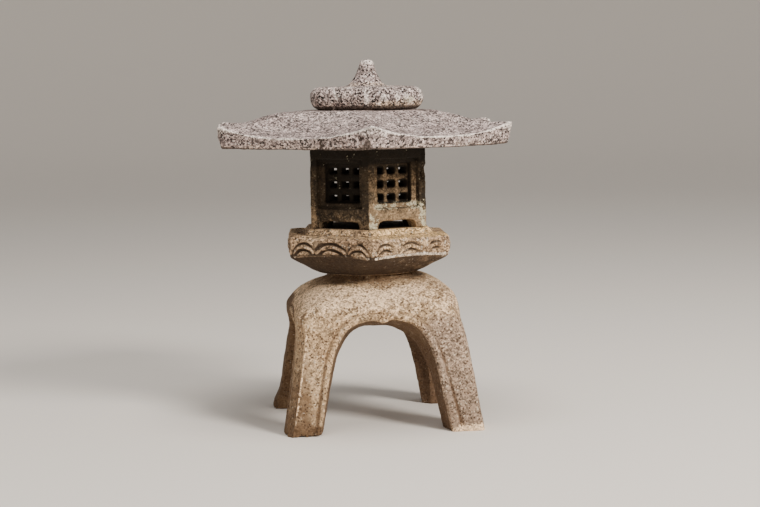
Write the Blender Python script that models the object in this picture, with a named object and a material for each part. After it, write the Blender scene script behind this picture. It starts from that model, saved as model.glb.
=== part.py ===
"""Stone lantern: a small snow-viewing garden lantern, five cast-stone pieces stacked loosely.

Square arched legs carry a hexagonal platform, a hexagonal light chamber with lattice windows,
a broad hexagonal roof and a finial. Round tenons keep the platform and the finial in place, and
a boss below the roof drops into the chamber, all with room to shift. Units are metres, +Z is up,
and the origin is on the ground below the middle of the roof. A corner of each hexagon points
along -Y, apart from the small turns below.
"""

import math

import bmesh
import bpy
from mathutils import Matrix, Vector

NAME = "stone_lantern"
GAP = 0.0003  # clearance where one stone rests on the next

# Heights of the resting faces
LEGS_TOP = 0.2312
PLATFORM_TOP = 0.3030
CHAMBER_TOP = 0.4362
ROOF_TOP = 0.4832
LANTERN_TOP = 0.560

# The stones sit a little turned and shifted along X from under the roof's middle
LEGS_SHIFT = 0.016
PLATFORM_SHIFT = 0.0094
CHAMBER_SHIFT = 0.0106
FINIAL_SHIFT = 0.0105
LEGS_TURN = math.radians(7.2)
PLATFORM_TURN = math.radians(3.0)
CHAMBER_TURN = math.radians(1.1)
ROOF_TURN = math.radians(4.5)

# Round tenons and their looser sockets
LEGS_TENON_RADIUS = 0.030
LEGS_TENON_DEPTH = 0.025
LEGS_SOCKET_RADIUS = 0.038
FINIAL_TENON_RADIUS = 0.012
FINIAL_TENON_DEPTH = 0.020
FINIAL_SOCKET_RADIUS = 0.024
SOCKET_SPARE = 0.002  # room below a tenon

# Legs: half width, corner radius and height of the block, from the feet over the domed top to
# the low round seat
LEGS_PROFILE = [
    (0.1515, 0.006, 0.0), (0.1425, 0.008, 0.054), (0.1335, 0.011, 0.110), (0.1262, 0.018, 0.158),
    (0.1250, 0.026, 0.175), (0.1190, 0.040, 0.1945), (0.1098, 0.046, 0.206),
    (0.0975, 0.048, 0.2145), (0.0850, 0.050, 0.2205), (0.0730, 0.060, 0.2248),
    (0.0705, 0.0705, 0.2262), (0.0690, 0.0690, LEGS_TOP),
]

# The arch on each side of the legs, and how far it narrows towards the middle of the stone
ARCH_FOOT = 0.0995  # half the span on the ground
ARCH_TOP = 0.1690
ARCH_CUSP = 0.0045  # small point that hangs in the middle of each outer edge
ARCH_NARROWING_FOOT = 0.72
ARCH_NARROWING_TOP = 0.57
ARCH_LOWERING = 0.855

# Light chamber
CHAMBER_RADIUS = 0.1018
CHAMBER_BORE = 0.0564  # from the middle to the inner wall
FRAME_HALF_WIDTH = 0.0395
FRAME_BOTTOM = 0.334
FRAME_TOP = 0.410
FRAME_DEPTH = 0.008
PANEL_HALF_WIDTH = 0.0302
PANEL_BOTTOM = 0.342
PANEL_TOP = 0.4035
PANEL_DEPTH = 0.0175
HOLE_WIDTH = 0.0155
HOLE_HEIGHT = 0.0124
HOLE_PITCH_ACROSS = 0.0210
HOLE_PITCH_UP = 0.0207
HOLE_MIDDLE = 0.3708
FOOT_ARCH_HALF_WIDTH = 0.034
FOOT_ARCH_HEIGHT = 0.0130

# Roof
ROOF_TIP_RADIUS = 0.2548
ROOF_TIP_HEIGHT = 0.4653
EAVE_TOP = 0.446
EAVE_BOTTOM = 0.428
EAVE_UNDERCUT = 0.0069  # how far the eave band leans in towards its lower edge
BOSS_RADIUS = 0.042
BOSS_DEPTH = 0.009

SIDES = 6
COS30 = math.cos(math.radians(30.0))
RING_POINTS = 48

COLOURS = {
    "legs": ((0.42, 0.31, 0.21), 0.93),
    "platform": ((0.40, 0.30, 0.20), 0.92),
    "light_chamber": ((0.055, 0.042, 0.028), 0.90),
    "roof": ((0.36, 0.30, 0.27), 0.94),
    "finial": ((0.37, 0.30, 0.27), 0.94),
}


# ---------------------------------------------------------------- scene and materials

def clear_scene():
    for thing in list(bpy.data.objects):
        bpy.data.objects.remove(thing, do_unlink=True)


def new_collection(name):
    collection = bpy.data.collections.new(name)
    bpy.context.scene.collection.children.link(collection)
    return collection


def stone_material(name):
    colour, roughness = COLOURS[name]
    material = bpy.data.materials.new(name + "_stone")
    material.use_nodes = True
    shader = material.node_tree.nodes["Principled BSDF"]
    shader.inputs["Base Color"].default_value = (*colour, 1.0)
    shader.inputs["Roughness"].default_value = roughness
    shader.inputs["Metallic"].default_value = 0.0
    material.diffuse_color = (*colour, 1.0)
    return material


def new_object(name, mesh, collection):
    thing = bpy.data.objects.new(name, mesh)
    collection.objects.link(thing)
    return thing


def new_stone(name, mesh, collection, shift, turn=0.0):
    stone = new_object(name, mesh, collection)
    stone.location = (shift, 0.0, 0.0)
    stone.rotation_euler = (0.0, 0.0, turn)
    mesh.materials.append(stone_material(name))
    mesh.shade_smooth()
    mesh.set_sharp_from_angle(angle=math.radians(28.0))
    return stone


def cut(stone, cutter):
    """Cut one shape out of a stone; the shape is placed in the stone's own frame."""
    cutter.parent = stone
    cutter.hide_render = True
    cutter.display_type = "WIRE"
    modifier = stone.modifiers.new("cut_" + cutter.name, "BOOLEAN")
    modifier.operation = "DIFFERENCE"
    modifier.solver = "EXACT"
    modifier.object = cutter


# ---------------------------------------------------------------- shapes

def reach(sides, apothem, corner, off_corner):
    """Distance from the middle to a polygon with rounded corners, at an angle off its corner."""
    half_side = math.pi / sides
    off_middle = half_side - abs(off_corner)
    if apothem * math.tan(off_middle) <= (apothem - corner) * math.tan(half_side):
        return apothem / math.cos(off_middle)
    centre = (apothem - corner) / math.cos(half_side)
    across = centre * math.sin(off_corner)
    return centre * math.cos(off_corner) + math.sqrt(corner ** 2 - across ** 2)


def ring(sides, apothem, corner, height, corner_height=None):
    """A closed section: a polygon with rounded corners, whose corners may lie higher or lower."""
    if corner_height is None:
        corner_height = height
    first_corner = -math.pi / 2 if sides == SIDES else math.pi / 4
    per_side = RING_POINTS // sides
    points = []
    for i in range(RING_POINTS):
        off_corner = (i % per_side) * 2 * math.pi / RING_POINTS
        if off_corner > math.pi / sides:
            off_corner -= 2 * math.pi / sides
        nearness = math.tan(math.pi / sides - abs(off_corner)) / math.tan(math.pi / sides)
        z = height + (corner_height - height) * nearness ** 2.6
        angle = first_corner + i * 2 * math.pi / RING_POINTS
        distance = reach(sides, apothem, corner, off_corner)
        points.append(Vector((distance * math.cos(angle), distance * math.sin(angle), z)))
    return points


def hexagon(radius, roundness, height, corner_height=None):
    """A section that goes from a sharp hexagon (roundness 0) to a circle (1) of one corner radius."""
    apothem = radius / ((1.0 - roundness) / COS30 + roundness)
    return ring(SIDES, apothem, roundness * apothem, height, corner_height)


def loft(name, sections):
    """Skin a row of sections of equal point count, lowest first, and close both ends."""
    shape = bmesh.new()
    rows = [[shape.verts.new(point) for point in section] for section in sections]
    for lower, upper in zip(rows, rows[1:]):
        for i in range(len(lower)):
            j = (i + 1) % len(lower)
            shape.faces.new((lower[i], lower[j], upper[j], upper[i]))
    shape.faces.new(list(reversed(rows[0])))
    shape.faces.new(rows[-1])
    bmesh.ops.recalc_face_normals(shape, faces=shape.faces)
    mesh = bpy.data.meshes.new(name)
    shape.to_mesh(mesh)
    shape.free()
    return mesh


def curve_height(points, x):
    """Height at x on a smooth curve through points sorted by falling x."""
    for (x0, z0), (x1, z1) in zip(points, points[1:]):
        if x >= x1:
            share = (x0 - x) / (x0 - x1)
            eased = share * share * (3.0 - 2.0 * share)
            return z0 + (z1 - z0) * (0.6 * share + 0.4 * eased)
    return points[-1][1]


def add_box(shape, low, high, turn):
    """Add a box, given by two opposite corners, turned about the lantern's axis."""
    middle = (low + high) / 2
    size = high - low
    place = Matrix.Rotation(turn, 4, "Z") @ Matrix.Translation(middle) @ Matrix.Diagonal((*size, 1.0))
    bmesh.ops.create_cube(shape, size=1.0, matrix=place)


def cylinder(name, radius, bottom, top, collection):
    shape = bmesh.new()
    place = Matrix.Translation((0.0, 0.0, (bottom + top) / 2))
    bmesh.ops.create_cone(
        shape, cap_ends=True, segments=RING_POINTS, radius1=radius, radius2=radius,
        depth=top - bottom, matrix=place,
    )
    mesh = bpy.data.meshes.new(name)
    shape.to_mesh(mesh)
    shape.free()
    return new_object(name, mesh, collection)


# ---------------------------------------------------------------- legs

def legs_half_width(height):
    """Half the width of the legs' outer block, which leans in as it rises."""
    for (w0, _, z0), (w1, _, z1) in zip(LEGS_PROFILE, LEGS_PROFILE[1:]):
        if height <= z1:
            return w0 + (w1 - w0) * max(0.0, (height - z0) / (z1 - z0))
    return LEGS_PROFILE[-1][0]


def arch_outline():
    """The arch on a face of the legs, from the right foot over the top to the left foot."""
    right = [
        (ARCH_FOOT + 0.002, -0.010), (ARCH_FOOT, 0.0), (0.0826, 0.089), (0.0760, 0.118),
        (0.0652, 0.142), (0.0590, 0.151), (0.0510, 0.158), (0.0400, 0.1642),
        (0.0270, 0.1678), (0.0140, ARCH_TOP), (0.0050, ARCH_TOP),
    ]
    left = [(-x, z) for x, z in reversed(right)]
    return [*right, (0.0, ARCH_TOP), *left]


def arch_cutter(collection, turn, name):
    """The space of two opposite arches: narrow and low in the middle, widening to both faces."""
    sections = []
    for share in (-1.2, 0.0, 1.2):
        section = []
        for x, z in arch_outline():
            rise = z / ARCH_TOP
            narrowing = ARCH_NARROWING_FOOT + (ARCH_NARROWING_TOP - ARCH_NARROWING_FOOT) * rise
            across = x * (narrowing + (1.0 - narrowing) * abs(share))
            up = z * (ARCH_LOWERING + (1.0 - ARCH_LOWERING) * abs(share))
            if x == 0.0:
                up -= ARCH_CUSP * abs(share)
            section.append(Vector((across, -share * legs_half_width(z), up)))
        sections.append(section)
    cutter = new_object(name, loft(name, sections), collection)
    cutter.rotation_euler = (0.0, 0.0, turn)
    return cutter


def hollow_cutter(collection):
    """The hollow between the legs, which trims the inner corners of the feet."""
    sections = [
        ring(4, 0.109, 0.030, -0.010), ring(4, 0.096, 0.028, 0.085),
        ring(4, 0.072, 0.024, 0.125), ring(4, 0.040, 0.020, 0.141),
    ]
    return new_object("legs_hollow", loft("legs_hollow", sections), collection)


def make_legs(stones, cutters):
    sections = [ring(4, width, corner, z) for width, corner, z in LEGS_PROFILE]
    legs = new_stone("legs", loft("legs", sections), stones, LEGS_SHIFT, LEGS_TURN)
    cut(legs, hollow_cutter(cutters))
    cut(legs, arch_cutter(cutters, 0.0, "arches_front_and_back"))
    cut(legs, arch_cutter(cutters, math.pi / 2, "arches_left_and_right"))
    bottom = LEGS_TOP + GAP - LEGS_TENON_DEPTH - SOCKET_SPARE
    cut(legs, cylinder("legs_socket", LEGS_SOCKET_RADIUS, bottom, LEGS_TOP + 0.01, cutters))


# ---------------------------------------------------------------- platform

def make_platform(stones):
    rest = LEGS_TOP + GAP
    sections = [
        hexagon(LEGS_TENON_RADIUS, 1.0, rest - LEGS_TENON_DEPTH),
        hexagon(LEGS_TENON_RADIUS, 1.0, rest),
        hexagon(0.0745, 1.0, rest),
        hexagon(0.0802, 0.85, 0.2330),
        hexagon(0.0932, 0.70, 0.2384),
        hexagon(0.1080, 0.50, 0.2466, 0.2456),
        hexagon(0.1240, 0.30, 0.2550, 0.2525),
        hexagon(0.1355, 0.12, 0.2626, 0.2585),
        hexagon(0.1400, 0.06, 0.2684, 0.2655),
        hexagon(0.1420, 0.05, 0.2770),
        hexagon(0.1408, 0.05, 0.2876),
        hexagon(0.1372, 0.05, 0.2914),
        hexagon(0.1125, 0.04, 0.2930),
        hexagon(0.1050, 0.04, PLATFORM_TOP),
    ]
    platform = loft("platform", sections)
    new_stone("platform", platform, stones, PLATFORM_SHIFT, PLATFORM_TURN)


# ---------------------------------------------------------------- light chamber

def hexagonal_tube(name, radius, bottom, top):
    shape = bmesh.new()
    place = Matrix.Translation((0.0, 0.0, (bottom + top) / 2))
    bmesh.ops.create_cone(
        shape, cap_ends=True, segments=SIDES, radius1=radius, radius2=radius,
        depth=top - bottom, matrix=place,
    )
    mesh = bpy.data.meshes.new(name)
    shape.to_mesh(mesh)
    shape.free()
    return mesh


def face_turns():
    """The turns that bring the chamber's +X face to each of its six faces."""
    return [i * math.pi / 3 for i in range(SIDES)]


def window_recesses(name, half_width, bottom, top, depth, collection):
    """The same shallow recess on all six faces."""
    outside = CHAMBER_RADIUS * COS30
    shape = bmesh.new()
    for turn in face_turns():
        low = Vector((outside - depth, -half_width, bottom))
        high = Vector((outside + 0.005, half_width, top))
        add_box(shape, low, high, turn)
    mesh = bpy.data.meshes.new(name)
    shape.to_mesh(mesh)
    shape.free()
    return new_object(name, mesh, collection)


def lattice_holes(collection):
    """Three rows of three oblong holes through each window panel."""
    outside = CHAMBER_RADIUS * COS30
    shape = bmesh.new()
    for turn in face_turns():
        for row in (-1, 0, 1):
            for column in (-1, 0, 1):
                y = column * HOLE_PITCH_ACROSS - HOLE_WIDTH / 2
                z = HOLE_MIDDLE + row * HOLE_PITCH_UP - HOLE_HEIGHT / 2
                low = Vector((CHAMBER_BORE - 0.003, y, z))
                high = Vector((outside - FRAME_DEPTH, y + HOLE_WIDTH, z + HOLE_HEIGHT))
                add_box(shape, low, high, turn)
    mesh = bpy.data.meshes.new("lattice_holes")
    shape.to_mesh(mesh)
    shape.free()
    return new_object("lattice_holes", mesh, collection)


def foot_arch_cutter(index, turn, collection):
    """The low arch under one face of the chamber, narrowing inwards."""
    base = PLATFORM_TOP + GAP
    outside = CHAMBER_RADIUS * COS30 + 0.004
    inside = CHAMBER_BORE - 0.003
    arc = [math.radians(90.0 * i / 5) for i in range(6)]
    flat = 0.72 * FOOT_ARCH_HALF_WIDTH
    corner = FOOT_ARCH_HALF_WIDTH - flat
    right = [(flat + corner * math.cos(a), base + FOOT_ARCH_HEIGHT * math.sin(a)) for a in arc]
    right.insert(0, (FOOT_ARCH_HALF_WIDTH, base - 0.004))
    outline = right + [(-y, z) for y, z in reversed(right)]
    sections = []
    for x, narrowing in ((inside, 0.86), (outside, 1.02)):
        sections.append([Vector((x, y * narrowing, z)) for y, z in outline])
    name = f"foot_arch_{index}"
    cutter = new_object(name, loft(name, sections), collection)
    cutter.rotation_euler = (0.0, 0.0, turn)
    return cutter


def make_light_chamber(stones, cutters):
    base = PLATFORM_TOP + GAP
    block = hexagonal_tube("light_chamber", CHAMBER_RADIUS, base, CHAMBER_TOP)
    chamber = new_stone("light_chamber", block, stones, CHAMBER_SHIFT, CHAMBER_TURN)
    bore = hexagonal_tube("chamber_bore", CHAMBER_BORE / COS30, base - 0.01, CHAMBER_TOP + 0.01)
    cut(chamber, new_object("chamber_bore", bore, cutters))
    cut(chamber, window_recesses(
        "window_frames", FRAME_HALF_WIDTH, FRAME_BOTTOM, FRAME_TOP, FRAME_DEPTH, cutters))
    cut(chamber, window_recesses(
        "window_panels", PANEL_HALF_WIDTH, PANEL_BOTTOM, PANEL_TOP, PANEL_DEPTH, cutters))
    cut(chamber, lattice_holes(cutters))
    for index, turn in enumerate(face_turns()):
        cut(chamber, foot_arch_cutter(index, turn, cutters))


# ---------------------------------------------------------------- roof

def roof_middle_height(apothem):
    """The hollow slope along the middle of a roof face."""
    rise = max(0.0, (0.219 - apothem) / 0.119)
    return min(0.4815, EAVE_TOP + 0.0355 * rise ** 1.5)


def roof_ridge_height(radius):
    """The ridge from the upturned tip, over a saddle, to the flat top."""
    ridge = [
        (ROOF_TIP_RADIUS, ROOF_TIP_HEIGHT), (0.236, 0.4638), (0.224, 0.4630), (0.210, 0.4638),
        (0.197, 0.4657), (0.184, 0.4690), (0.168, 0.4738), (0.1465, 0.4790), (0.126, 0.4810),
        (0.105, 0.4820),
    ]
    return curve_height(ridge, radius)


def make_roof(stones, cutters):
    seat = CHAMBER_TOP + GAP
    corner = 0.0015
    eave = ROOF_TIP_RADIUS * COS30
    band = eave - EAVE_UNDERCUT
    sections = [
        ring(SIDES, BOSS_RADIUS * COS30, corner, seat - BOSS_DEPTH),
        ring(SIDES, BOSS_RADIUS * COS30, corner, seat),
        ring(SIDES, 0.104, corner, seat),
        ring(SIDES, 0.160, corner, 0.4335, 0.4345),
        ring(SIDES, band - 0.010, corner, EAVE_BOTTOM + 0.0012, EAVE_BOTTOM + 0.0032),
        ring(SIDES, band, corner, EAVE_BOTTOM, EAVE_BOTTOM + 0.002),
        ring(SIDES, eave, corner, EAVE_TOP, ROOF_TIP_HEIGHT),
    ]
    for radius in (0.247, 0.236, 0.224, 0.210, 0.197, 0.184, 0.168, 0.1465, 0.126, 0.105):
        apothem = radius * COS30
        middle = roof_middle_height(apothem)
        sections.append(ring(SIDES, apothem, corner, middle, roof_ridge_height(radius)))
    sections.append(ring(SIDES, 0.080, corner, ROOF_TOP))
    roof = new_stone("roof", loft("roof", sections), stones, 0.0, ROOF_TURN)
    bottom = ROOF_TOP + GAP - FINIAL_TENON_DEPTH - SOCKET_SPARE
    cut(roof, cylinder("roof_socket", FINIAL_SOCKET_RADIUS, bottom, ROOF_TOP + 0.01, cutters))


# ---------------------------------------------------------------- finial

def make_finial(stones):
    rest = ROOF_TOP + GAP
    disc = [(0.0745, rest), (0.0798, 0.4872), (0.0840, 0.4938), (0.0856, 0.5022),
            (0.0840, 0.5100), (0.0795, 0.5150), (0.0730, 0.5180)]
    spire = [(0.0295, 0.5190), (0.0243, 0.5235), (0.0203, 0.5300), (0.0160, 0.5385),
             (0.0128, 0.5475), (0.0106, 0.5550), (0.0080, 0.5585), (0.0035, LANTERN_TOP)]
    sections = [
        ring(SIDES, FINIAL_TENON_RADIUS, FINIAL_TENON_RADIUS, rest - FINIAL_TENON_DEPTH),
        ring(SIDES, FINIAL_TENON_RADIUS, FINIAL_TENON_RADIUS, rest),
    ]
    sections += [ring(SIDES, apothem, 0.34 * apothem, z) for apothem, z in disc]
    sections += [ring(SIDES, radius, radius, z) for radius, z in spire]
    new_stone("finial", loft("finial", sections), stones, FINIAL_SHIFT, ROOF_TURN)


def main():
    clear_scene()
    stones = new_collection(NAME)
    cutters = new_collection(NAME + "_cutters")
    make_legs(stones, cutters)
    make_platform(stones)
    make_light_chamber(stones, cutters)
    make_roof(stones, cutters)
    make_finial(stones)


main()
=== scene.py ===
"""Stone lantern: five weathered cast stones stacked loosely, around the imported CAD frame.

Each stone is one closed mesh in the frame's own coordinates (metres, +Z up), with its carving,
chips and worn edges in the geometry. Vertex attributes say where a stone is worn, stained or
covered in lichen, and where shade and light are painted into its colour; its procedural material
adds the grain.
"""

import math

import bpy
import numpy as np
from mathutils import Matrix, Vector


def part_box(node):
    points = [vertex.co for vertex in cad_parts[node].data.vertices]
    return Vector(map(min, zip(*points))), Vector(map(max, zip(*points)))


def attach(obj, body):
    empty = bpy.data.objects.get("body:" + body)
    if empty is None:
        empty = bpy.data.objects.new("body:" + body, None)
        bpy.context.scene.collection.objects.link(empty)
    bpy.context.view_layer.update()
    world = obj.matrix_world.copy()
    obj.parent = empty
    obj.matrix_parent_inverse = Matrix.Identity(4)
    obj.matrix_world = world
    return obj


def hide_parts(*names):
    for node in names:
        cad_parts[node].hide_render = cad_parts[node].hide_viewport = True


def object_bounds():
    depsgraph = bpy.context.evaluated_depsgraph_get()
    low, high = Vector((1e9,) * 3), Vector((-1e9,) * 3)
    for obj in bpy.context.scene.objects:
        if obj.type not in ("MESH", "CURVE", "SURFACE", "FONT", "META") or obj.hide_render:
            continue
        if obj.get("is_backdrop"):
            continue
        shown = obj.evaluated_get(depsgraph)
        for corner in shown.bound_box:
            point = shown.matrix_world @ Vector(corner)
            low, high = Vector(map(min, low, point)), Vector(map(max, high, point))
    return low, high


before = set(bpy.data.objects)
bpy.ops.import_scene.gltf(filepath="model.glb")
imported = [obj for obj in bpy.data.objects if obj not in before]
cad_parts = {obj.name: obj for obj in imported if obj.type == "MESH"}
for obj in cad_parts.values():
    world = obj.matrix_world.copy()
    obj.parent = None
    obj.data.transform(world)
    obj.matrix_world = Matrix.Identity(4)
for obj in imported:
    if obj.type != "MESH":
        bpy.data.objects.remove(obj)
cad_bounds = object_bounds()

SIDES = 6
HALF_SIDE = math.pi / SIDES
COS30 = math.cos(HALF_SIDE)
CORNER_RISE = 2.6  # how sharply a ring's corners turn up
HEX_START = -math.pi / 2  # a corner of each hexagon points along -Y
SQUARE_START = math.pi / 4

# The loose stones are a little turned on each other
LEGS_TURN = math.radians(7.2)
PLATFORM_TURN = math.radians(3.0)
CHAMBER_TURN = math.radians(1.1)
ROOF_TURN = math.radians(4.5)


def middle(node):
    """X of a node's vertical axis."""
    low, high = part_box(node)
    return (low[0] + high[0]) / 2


LEGS_X = middle("legs")
PLATFORM_X = middle("platform")
CHAMBER_X = middle("light_chamber")
ROOF_X = middle("roof")
FINIAL_X = middle("finial")
LEGS_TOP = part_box("legs")[1][2]
PLATFORM_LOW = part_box("platform")[0][2]
PLATFORM_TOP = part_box("platform")[1][2]
CHAMBER_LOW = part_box("light_chamber")[0][2]
CHAMBER_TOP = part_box("light_chamber")[1][2]
FINIAL_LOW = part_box("finial")[0][2]
LANTERN_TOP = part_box("finial")[1][2]
GAP = CHAMBER_LOW - PLATFORM_TOP
SOCKET_SPARE = 0.002  # room below a tenon
HUB = 0.002  # radius of the ring next to a mesh's end point


# ---- noise

def lattice_random(cell, seed):
    """A repeatable random number from 0 to 1 for each whole-number point."""
    x, y, z = (cell[:, i].astype(np.int64) for i in range(3))
    mixed = (x * 73856093) ^ (y * 19349663) ^ (z * 83492791) ^ (seed * 2654435761)
    mixed &= 0xFFFFFFFF
    for _ in range(2):
        mixed = ((mixed ^ (mixed >> 16)) * 0x45D9F3B) & 0xFFFFFFFF
    return ((mixed ^ (mixed >> 16)) & 0xFFFFFF) / float(0xFFFFFF)


def noise(points, size, seed):
    """Smooth noise from -1 to 1 with features about one size across."""
    place = points / size
    base = np.floor(place)
    part = place - base
    part = part * part * (3.0 - 2.0 * part)
    total = np.zeros(len(points))
    for dx in (0, 1):
        for dy in (0, 1):
            for dz in (0, 1):
                weight = np.abs(1 - dx - part[:, 0]) * np.abs(1 - dy - part[:, 1])
                weight *= np.abs(1 - dz - part[:, 2])
                total += weight * lattice_random(base + (dx, dy, dz), seed)
    return total * 2.0 - 1.0


def casting(points, seed, broad, middling, fine):
    """An uneven cast surface: layers of noise, each given as its height and size."""
    total = broad[0] * noise(points, broad[1], seed)
    total += middling[0] * noise(points, middling[1], seed + 1)
    height, size = fine
    return total + height * (noise(points, size, seed + 2) + 0.55 * noise(points, size / 2, seed + 19))


def smooth(low, high, values):
    """0 below low, 1 above high, eased between. It falls from 1 to 0 where high is the smaller."""
    part = np.clip((values - low) / (high - low), 0.0, 1.0)
    return part * part * (3.0 - 2.0 * part)


def bump_at(values, centre, width):
    """1 at the centre, falling off over about the width on both sides."""
    return np.exp(-((values - centre) / width) ** 2)


# ---- rings and meshes

def round_row(radius, height):
    """A level, round ring (apothem, corner radius, height, corner height)."""
    return radius, radius, height, height


def level_row(apothem, corner, height):
    return apothem, corner, height, height


def straight_rows(table, step):
    """Rows between the table's rows, about one step apart along the profile."""
    table = np.array(table, float)
    rows = []
    for a, b in zip(table, table[1:]):
        length = math.hypot(b[0] - a[0], b[2] - a[2])
        count = max(1, math.ceil(length / step))
        rows += [a + (b - a) * i / count for i in range(count)]
    rows.append(table[-1])
    return np.array(rows)


def smooth_rows(table, step):
    """Like straight_rows, on a smooth curve through the table's rows."""
    table = np.array(table, float)
    padded = np.vstack([2 * table[0] - table[1], table, 2 * table[-1] - table[-2]])
    rows = []
    for i in range(len(table) - 1):
        a, b, c, d = padded[i:i + 4]
        count = max(1, math.ceil(np.linalg.norm(c - b) / step))
        for t in np.arange(count) / count:
            rows.append(0.5 * (
                2 * b + (c - a) * t + (2 * a - 5 * b + 4 * c - d) * t ** 2
                + (3 * b - a - 3 * c + d) * t ** 3
            ))
    rows.append(table[-1])
    return np.array(rows)


def soften(rows, times):
    """Round the profile's corners a little."""
    for _ in range(times):
        rows[1:-1] = (rows[:-2] + 2 * rows[1:-1] + rows[2:]) / 4
    return rows


def ring_grid(sides, rows, columns, turn, centre_x):
    """A closed ring of points for each row (apothem, corner radius, height, corner height)."""
    half = math.pi / sides
    start = HEX_START if sides == SIDES else SQUARE_START
    index = np.arange(columns)
    step = 2 * math.pi / columns
    off = (index % (columns // sides)) * step
    off = np.where(off > half, off - 2 * half, off)
    nearness = np.tan(half - np.abs(off)) / math.tan(half)
    angle = start + turn + index * step
    apothem, corner, low, high = (rows[:, i, None] for i in range(4))
    straight = apothem / np.cos(half - np.abs(off))
    centre = (apothem - corner) / math.cos(half)
    across = centre * np.sin(off)
    rounded = centre * np.cos(off) + np.sqrt(np.maximum(corner ** 2 - across ** 2, 0.0))
    on_side = apothem * np.tan(half - np.abs(off)) <= (apothem - corner) * math.tan(half)
    distance = np.where(on_side, straight, rounded)
    x = centre_x + distance * np.cos(angle)
    y = distance * np.sin(angle)
    z = low + (high - low) * nearness ** CORNER_RISE
    return np.stack([x, y, z * np.ones_like(x)], axis=-1)


def closed_mesh(name, grid):
    """A mesh through the grid's rings, lowest first, closed at both ends."""
    rings, columns, _ = grid.shape
    points = np.vstack([grid.reshape(-1, 3), grid[0].mean(axis=0), grid[-1].mean(axis=0)])
    this = np.arange(columns)
    following = (this + 1) % columns
    faces = []
    for i in range(rings - 1):
        low, high = i * columns, (i + 1) * columns
        quads = np.stack([low + this, low + following, high + following, high + this], axis=1)
        faces += quads.tolist()
    first, last = rings * columns, rings * columns + 1
    top = (rings - 1) * columns
    faces += [(first, j, i) for i, j in zip(this.tolist(), following.tolist())]
    faces += [(last, top + i, top + j) for i, j in zip(this.tolist(), following.tolist())]
    mesh = bpy.data.meshes.new(name)
    mesh.from_pydata(points.tolist(), [], faces)
    mesh.update()
    return mesh


def read_rows(items, key, width, kind=float):
    values = np.empty(len(items) * width, dtype=kind)
    items.foreach_get(key, values)
    return values.reshape(-1, width)


def mesh_points(mesh):
    return read_rows(mesh.vertices, "co", 3)


def mesh_normals(mesh):
    return read_rows(mesh.vertex_normals, "vector", 3)


def mesh_edges(mesh):
    return read_rows(mesh.edges, "vertices", 2, np.int64)


def set_points(mesh, points):
    mesh.vertices.foreach_set("co", points.ravel())
    mesh.update()


def neighbour_mean(values, edges):
    """The mean of each vertex's neighbours."""
    size = len(values)
    ends = np.concatenate([edges[:, 0], edges[:, 1]])
    others = np.concatenate([edges[:, 1], edges[:, 0]])
    count = np.maximum(np.bincount(ends, minlength=size), 1)
    if values.ndim == 1:
        return np.bincount(ends, values[others], minlength=size) / count
    columns = [np.bincount(ends, values[others, i], minlength=size) for i in range(3)]
    return np.stack(columns, axis=1) / count[:, None]


def spread(values, edges, times):
    for _ in range(times):
        values = 0.5 * values + 0.5 * neighbour_mean(values, edges)
    return values


def convexity(points, normals, edges, times):
    """Mean curvature per metre, above zero on outer edges and below zero in hollows."""
    inward = neighbour_mean(points, edges) - points
    squares = np.sum((points[edges[:, 0]] - points[edges[:, 1]]) ** 2, axis=1)
    ends = np.concatenate([edges[:, 0], edges[:, 1]])
    count = np.maximum(np.bincount(ends, minlength=len(points)), 1)
    spacing = np.bincount(ends, np.concatenate([squares, squares]), minlength=len(points)) / count
    bend = -np.einsum("ij,ij->i", inward, normals) / spacing
    return spread(np.clip(bend, -500.0, 500.0), edges, times)


def set_attribute(mesh, name, values):
    attribute = mesh.attributes.new(name, "FLOAT", "POINT")
    attribute.data.foreach_set("value", np.clip(values, 0.0, 1.0).astype(np.float32))


def new_object(name, mesh):
    thing = bpy.data.objects.new(name, mesh)
    bpy.context.scene.collection.objects.link(thing)
    return thing


def applied(thing):
    """A new mesh with the object's modifiers applied; the object and its mesh are removed."""
    graph = bpy.context.evaluated_depsgraph_get()
    mesh = bpy.data.meshes.new_from_object(thing.evaluated_get(graph))
    old = thing.data
    bpy.data.objects.remove(thing, do_unlink=True)
    bpy.data.meshes.remove(old)
    return mesh


def subtracted(mesh, cutters):
    """The mesh with each cutter mesh cut out of it."""
    for cutter in cutters:
        body = new_object("body", mesh)
        tool = new_object("tool", cutter)
        modifier = body.modifiers.new("cut", "BOOLEAN")
        modifier.operation = "DIFFERENCE"
        modifier.solver = "EXACT"
        modifier.object = tool
        mesh = applied(body)
        bpy.data.objects.remove(tool, do_unlink=True)
    return mesh


def remeshed(mesh, voxel):
    """The mesh made again of small even faces."""
    body = new_object("body", mesh)
    modifier = body.modifiers.new("even", "REMESH")
    modifier.mode = "VOXEL"
    modifier.voxel_size = voxel
    return applied(body)


def placed(points, turn, centre_x):
    """Points from a stone's own frame to the lantern's."""
    x = points[:, 0] * math.cos(turn) - points[:, 1] * math.sin(turn) + centre_x
    y = points[:, 0] * math.sin(turn) + points[:, 1] * math.cos(turn)
    return np.stack([x, y, points[:, 2]], axis=1)


def local(points, turn, centre_x):
    """Points from the lantern's frame to a stone's own."""
    moved = points - (centre_x, 0.0, 0.0)
    return placed(moved, -turn, 0.0)


def in_side(own):
    """Which of the hexagon's sides each point is at, its angle, and the point along and out."""
    side = np.floor((np.arctan2(own[:, 1], own[:, 0]) - HEX_START) / (2 * HALF_SIDE))
    side = side.astype(int) % SIDES
    facing = HEX_START + (side + 0.5) * 2 * HALF_SIDE
    along = -own[:, 0] * np.sin(facing) + own[:, 1] * np.cos(facing)
    out = own[:, 0] * np.cos(facing) + own[:, 1] * np.sin(facing)
    return side, facing, along, out


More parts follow.
